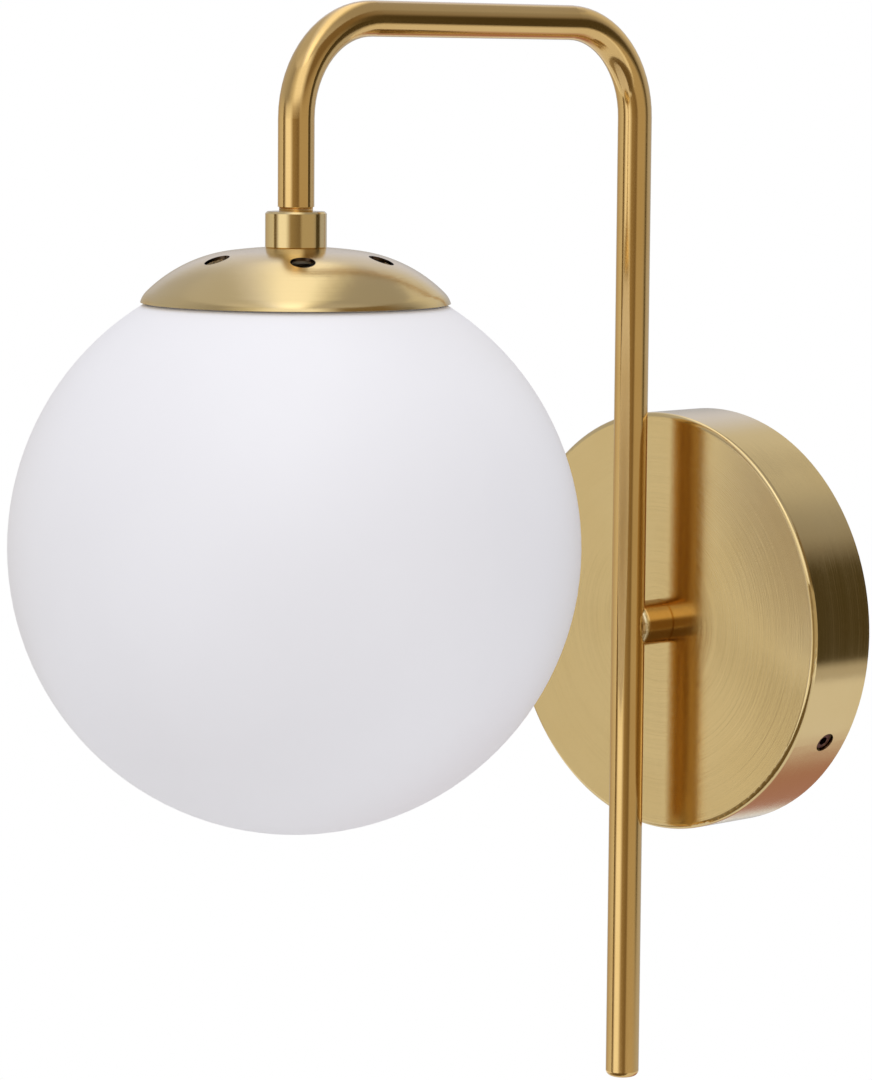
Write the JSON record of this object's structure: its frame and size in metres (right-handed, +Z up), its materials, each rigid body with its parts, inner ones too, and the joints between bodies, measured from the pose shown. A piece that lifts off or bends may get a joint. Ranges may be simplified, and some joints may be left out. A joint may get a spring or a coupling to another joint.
{
  "type": "globe wall sconce",
  "caption": "Indoor wall light: a bent brass tube on a round canopy carries an opal glass globe below a vented cap; the globe and its bulb come off for relamping.",
  "frame": {"origin": "the canopy's centre on the wall plane, at the middle of the wall bracket's flat face", "axes": "+Y points into the wall and -Y into the room, +Z is up, +X is to the right for a person who faces the wall"},
  "size_m": [0.15, 0.235, 0.3053],
  "materials": {
    "canopy_brass": "spun and brushed, lacquered",
    "arm_brass": "polished, lacquered",
    "cap_brass": "polished, lacquered",
    "brass": "turned and polished",
    "plated_steel": "zinc plated",
    "spring_steel": "bright spring steel",
    "tinned_brass": "tinned",
    "green_screw": "green dyed plating",
    "opal_glass": "opal white, satin",
    "seal_glass": "black vitrite",
    "holder_plastic": "white moulded",
    "block_plastic": "natural moulded",
    "bush_plastic": "black moulded",
    "bulb_metal": "rolled, plated",
    "bulb_plastic": "white",
    "diffuser_plastic": "frosted white",
    "live_insulation": "black insulation",
    "neutral_insulation": "white insulation",
    "earth_insulation": "green insulation with a yellow stripe"
  },
  "bodies": {
    "fixture": {"canopy": "canopy_brass", "wall_bracket": "plated_steel", "canopy_lock_screws": "brass", "earth_screw": "green_screw", "earth_lug": "tinned_brass", "terminal_block": "block_plastic", "terminal_barrels": "tinned_brass", "terminal_screws": "plated_steel", "arm_stub": "brass", "stub_nipple": "plated_steel", "star_washer": "plated_steel", "earth_tag": "tinned_brass", "nipple_nut": "plated_steel", "wire_bush": "bush_plastic", "arm_tube": "arm_brass", "arm_end_plug": "arm_brass", "leg_nipple": "brass", "cap_collar": "brass", "vented_cap": "cap_brass", "plate_spacer": "plated_steel", "spring_plate": "plated_steel", "cap_locknut": "plated_steel", "globe_spring_1": "spring_steel", "globe_spring_2": "spring_steel", "globe_spring_3": "spring_steel", "spring_rivets": "plated_steel", "holder_cap": "holder_plastic", "holder_body": "holder_plastic", "screw_shell": "brass", "centre_contact": "tinned_brass", "holder_posts": "tinned_brass", "holder_screws": "plated_steel", "live_wire": "live_insulation", "neutral_wire": "neutral_insulation", "earth_wire": "earth_insulation"},
    "globe": {"globe_glass": "opal_glass"},
    "bulb_foot": {"bulb_tip": "tinned_brass"},
    "bulb": {"bulb_seal": "seal_glass", "bulb_screw_cap": "bulb_metal", "bulb_housing": "bulb_plastic", "bulb_diffuser": "diffuser_plastic"}
  },
  "joints": [
    {"name": "globe_release", "type": "slide", "parent": "fixture", "child": "globe", "axis": [0, 0, -1], "range_m": [0, 0.11], "deforming": ["globe_spring_1", "globe_spring_2", "globe_spring_3"]},
    {"name": "bulb_drop", "type": "slide", "parent": "fixture", "child": "bulb_foot", "axis": [0, 0, -1], "range_m": [0, 0.01814]},
    {"name": "bulb_turn", "type": "hinge", "parent": "bulb_foot", "child": "bulb", "pos_m": [0, -0.16, 0.05], "axis": [0, 0, -1], "range_deg": [0, 1800]}
  ],
  "couplings": [
    {"joint": "bulb_turn", "follows": "bulb_drop", "rad_per_m": 1731.4}
  ]
}
